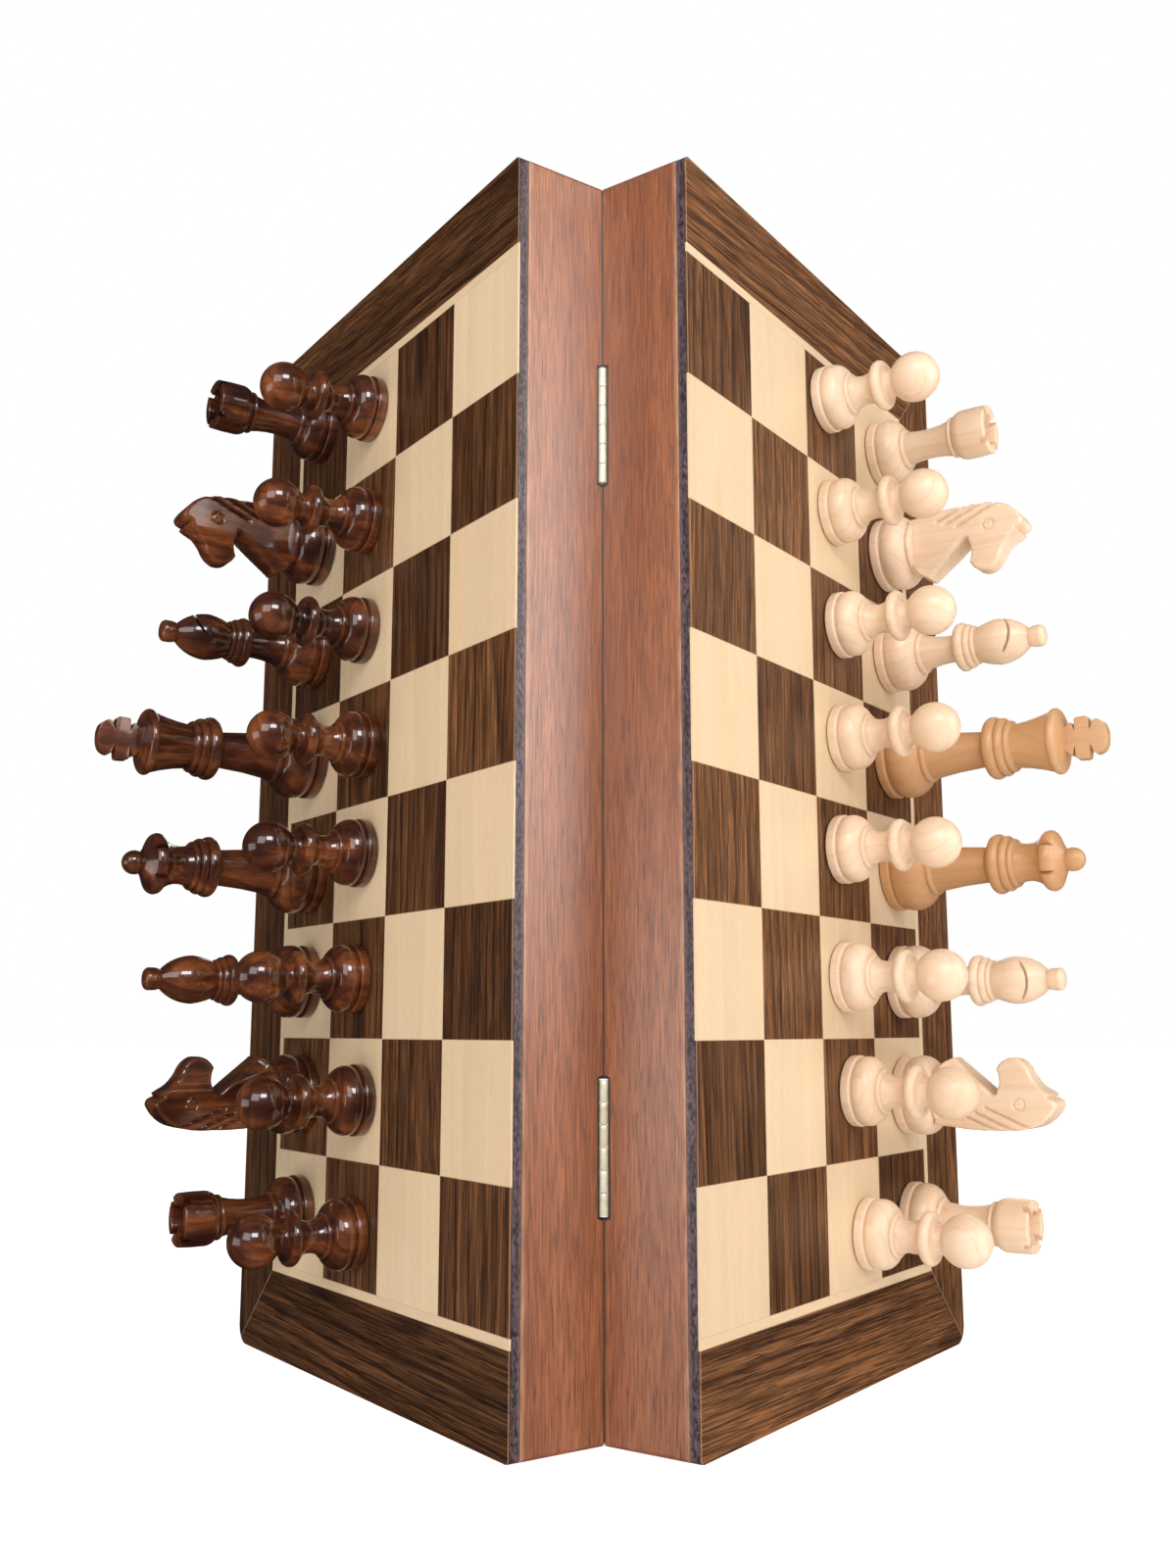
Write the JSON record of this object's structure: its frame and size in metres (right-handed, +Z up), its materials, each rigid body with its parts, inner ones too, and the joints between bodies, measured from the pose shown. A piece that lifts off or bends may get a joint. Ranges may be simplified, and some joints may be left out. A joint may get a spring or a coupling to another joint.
{
  "type": "folding magnetic chess set",
  "caption": "Folding wooden chess board standing half open on its end, its hollow halves hinged along the fold, with turned wooden pieces held magnetically on its playing faces.",
  "frame": {"origin": "middle of the bounding box in X and Y, on the plane of the lower ends that the half-open board stands on", "axes": "+Z up along the hinge axis, the board's long side; -Y towards the viewer who looks at the two spine walls; +X to that viewer's right, towards the light pieces"},
  "size_m": [0.344, 0.1738, 0.381],
  "materials": {
    "box_wood": "reddish-brown satin varnish over straight grain",
    "board_veneer": "walnut and maple veneer, satin, with a dark stained edge",
    "steel_sheet": "thin plain sheet",
    "green_felt": "short felt",
    "hinge_brass": "pale polished brass",
    "magnet_nickel": "nickel plated",
    "dark_stained_wood": "dark red-brown stain under gloss lacquer",
    "light_wood": "natural pale wood, satin"
  },
  "bodies": {
    "left_half": {"left_playing_panel": "board_veneer", "left_spine_wall": "box_wood", "left_outer_wall": "box_wood", "left_lower_end_wall": "box_wood", "left_upper_end_wall": "box_wood", "left_steel_sheet": "steel_sheet", "left_felt_lining": "green_felt", "left_lower_closure_magnet": "magnet_nickel", "left_upper_closure_magnet": "magnet_nickel", "lower_hinge_left_leaf": "hinge_brass", "upper_hinge_left_leaf": "hinge_brass", "lower_hinge_pin": "hinge_brass", "upper_hinge_pin": "hinge_brass"},
    "right_half": {"right_playing_panel": "board_veneer", "right_spine_wall": "box_wood", "right_outer_wall": "box_wood", "right_lower_end_wall": "box_wood", "right_upper_end_wall": "box_wood", "right_steel_sheet": "steel_sheet", "right_felt_lining": "green_felt", "right_lower_closure_magnet": "magnet_nickel", "right_upper_closure_magnet": "magnet_nickel", "lower_hinge_right_leaf": "hinge_brass", "upper_hinge_right_leaf": "hinge_brass"},
    "dark_pawn_1": {"dark_pawn_1": "dark_stained_wood"},
    "dark_pawn_2": {"dark_pawn_2": "dark_stained_wood"},
    "dark_pawn_3": {"dark_pawn_3": "dark_stained_wood"},
    "dark_pawn_4": {"dark_pawn_4": "dark_stained_wood"},
    "dark_pawn_5": {"dark_pawn_5": "dark_stained_wood"},
    "dark_pawn_6": {"dark_pawn_6": "dark_stained_wood"},
    "dark_pawn_7": {"dark_pawn_7": "dark_stained_wood"},
    "dark_pawn_8": {"dark_pawn_8": "dark_stained_wood"},
    "dark_rook_1": {"dark_rook_1": "dark_stained_wood"},
    "dark_knight_1": {"dark_knight_1": "dark_stained_wood"},
    "dark_bishop_1": {"dark_bishop_1": "dark_stained_wood"},
    "dark_king": {"dark_king": "dark_stained_wood"},
    "dark_queen": {"dark_queen": "dark_stained_wood"},
    "dark_bishop_2": {"dark_bishop_2": "dark_stained_wood"},
    "dark_knight_2": {"dark_knight_2": "dark_stained_wood"},
    "dark_rook_2": {"dark_rook_2": "dark_stained_wood"},
    "light_pawn_1": {"light_pawn_1": "light_wood"},
    "light_pawn_2": {"light_pawn_2": "light_wood"},
    "light_pawn_3": {"light_pawn_3": "light_wood"},
    "light_pawn_4": {"light_pawn_4": "light_wood"},
    "light_pawn_5": {"light_pawn_5": "light_wood"},
    "light_pawn_6": {"light_pawn_6": "light_wood"},
    "light_pawn_7": {"light_pawn_7": "light_wood"},
    "light_pawn_8": {"light_pawn_8": "light_wood"},
    "light_rook_1": {"light_rook_1": "light_wood"},
    "light_knight_1": {"light_knight_1": "light_wood"},
    "light_bishop_1": {"light_bishop_1": "light_wood"},
    "light_king": {"light_king": "light_wood"},
    "light_queen": {"light_queen": "light_wood"},
    "light_bishop_2": {"light_bishop_2": "light_wood"},
    "light_knight_2": {"light_knight_2": "light_wood"},
    "light_rook_2": {"light_rook_2": "light_wood"}
  },
  "joints": [
    {"name": "fold", "type": "hinge", "parent": "left_half", "child": "right_half", "pos_m": [0, -0.06907, 0], "axis": [0, 0, 1], "range_deg": [-110, 70]},
    {"name": "lift_dark_pawn_1", "type": "slide", "parent": "left_half", "child": "dark_pawn_1", "axis": [-0.8192, -0.5736, 0], "range_m": [0, 0.09]},
    {"name": "lift_dark_pawn_2", "type": "slide", "parent": "left_half", "child": "dark_pawn_2", "axis": [-0.8192, -0.5736, 0], "range_m": [0, 0.09]},
    {"name": "lift_dark_pawn_3", "type": "slide", "parent": "left_half", "child": "dark_pawn_3", "axis": [-0.8192, -0.5736, 0], "range_m": [0, 0.09]},
    {"name": "lift_dark_pawn_4", "type": "slide", "parent": "left_half", "child": "dark_pawn_4", "axis": [-0.8192, -0.5736, 0], "range_m": [0, 0.09]},
    {"name": "lift_dark_pawn_5", "type": "slide", "parent": "left_half", "child": "dark_pawn_5", "axis": [-0.8192, -0.5736, 0], "range_m": [0, 0.09]},
    {"name": "lift_dark_pawn_6", "type": "slide", "parent": "left_half", "child": "dark_pawn_6", "axis": [-0.8192, -0.5736, 0], "range_m": [0, 0.09]},
    {"name": "lift_dark_pawn_7", "type": "slide", "parent": "left_half", "child": "dark_pawn_7", "axis": [-0.8192, -0.5736, 0], "range_m": [0, 0.09]},
    {"name": "lift_dark_pawn_8", "type": "slide", "parent": "left_half", "child": "dark_pawn_8", "axis": [-0.8192, -0.5736, 0], "range_m": [0, 0.09]},
    {"name": "lift_dark_rook_1", "type": "slide", "parent": "left_half", "child": "dark_rook_1", "axis": [-0.8192, -0.5736, 0], "range_m": [0, 0.09]},
    {"name": "lift_dark_knight_1", "type": "slide", "parent": "left_half", "child": "dark_knight_1", "axis": [-0.8192, -0.5736, 0], "range_m": [0, 0.09]},
    {"name": "lift_dark_bishop_1", "type": "slide", "parent": "left_half", "child": "dark_bishop_1", "axis": [-0.8192, -0.5736, 0], "range_m": [0, 0.09]},
    {"name": "lift_dark_king", "type": "slide", "parent": "left_half", "child": "dark_king", "axis": [-0.8192, -0.5736, 0], "range_m": [0, 0.09]},
    {"name": "lift_dark_queen", "type": "slide", "parent": "left_half", "child": "dark_queen", "axis": [-0.8192, -0.5736, 0], "range_m": [0, 0.09]},
    {"name": "lift_dark_bishop_2", "type": "slide", "parent": "left_half", "child": "dark_bishop_2", "axis": [-0.8192, -0.5736, 0], "range_m": [0, 0.09]},
    {"name": "lift_dark_knight_2", "type": "slide", "parent": "left_half", "child": "dark_knight_2", "axis": [-0.8192, -0.5736, 0], "range_m": [0, 0.09]},
    {"name": "lift_dark_rook_2", "type": "slide", "parent": "left_half", "child": "dark_rook_2", "axis": [-0.8192, -0.5736, 0], "range_m": [0, 0.09]},
    {"name": "lift_light_pawn_1", "type": "slide", "parent": "right_half", "child": "light_pawn_1", "axis": [0.8192, -0.5736, 0], "range_m": [0, 0.09]},
    {"name": "lift_light_pawn_2", "type": "slide", "parent": "right_half", "child": "light_pawn_2", "axis": [0.8192, -0.5736, 0], "range_m": [0, 0.09]},
    {"name": "lift_light_pawn_3", "type": "slide", "parent": "right_half", "child": "light_pawn_3", "axis": [0.8192, -0.5736, 0], "range_m": [0, 0.09]},
    {"name": "lift_light_pawn_4", "type": "slide", "parent": "right_half", "child": "light_pawn_4", "axis": [0.8192, -0.5736, 0], "range_m": [0, 0.09]},
    {"name": "lift_light_pawn_5", "type": "slide", "parent": "right_half", "child": "light_pawn_5", "axis": [0.8192, -0.5736, 0], "range_m": [0, 0.09]},
    {"name": "lift_light_pawn_6", "type": "slide", "parent": "right_half", "child": "light_pawn_6", "axis": [0.8192, -0.5736, 0], "range_m": [0, 0.09]},
    {"name": "lift_light_pawn_7", "type": "slide", "parent": "right_half", "child": "light_pawn_7", "axis": [0.8192, -0.5736, 0], "range_m": [0, 0.09]},
    {"name": "lift_light_pawn_8", "type": "slide", "parent": "right_half", "child": "light_pawn_8", "axis": [0.8192, -0.5736, 0], "range_m": [0, 0.09]},
    {"name": "lift_light_rook_1", "type": "slide", "parent": "right_half", "child": "light_rook_1", "axis": [0.8192, -0.5736, 0], "range_m": [0, 0.09]},
    {"name": "lift_light_knight_1", "type": "slide", "parent": "right_half", "child": "light_knight_1", "axis": [0.8192, -0.5736, 0], "range_m": [0, 0.09]},
    {"name": "lift_light_bishop_1", "type": "slide", "parent": "right_half", "child": "light_bishop_1", "axis": [0.8192, -0.5736, 0], "range_m": [0, 0.09]},
    {"name": "lift_light_king", "type": "slide", "parent": "right_half", "child": "light_king", "axis": [0.8192, -0.5736, 0], "range_m": [0, 0.09]},
    {"name": "lift_light_queen", "type": "slide", "parent": "right_half", "child": "light_queen", "axis": [0.8192, -0.5736, 0], "range_m": [0, 0.09]},
    {"name": "lift_light_bishop_2", "type": "slide", "parent": "right_half", "child": "light_bishop_2", "axis": [0.8192, -0.5736, 0], "range_m": [0, 0.09]},
    {"name": "lift_light_knight_2", "type": "slide", "parent": "right_half", "child": "light_knight_2", "axis": [0.8192, -0.5736, 0], "range_m": [0, 0.09]},
    {"name": "lift_light_rook_2", "type": "slide", "parent": "right_half", "child": "light_rook_2", "axis": [0.8192, -0.5736, 0], "range_m": [0, 0.09]}
  ]
}
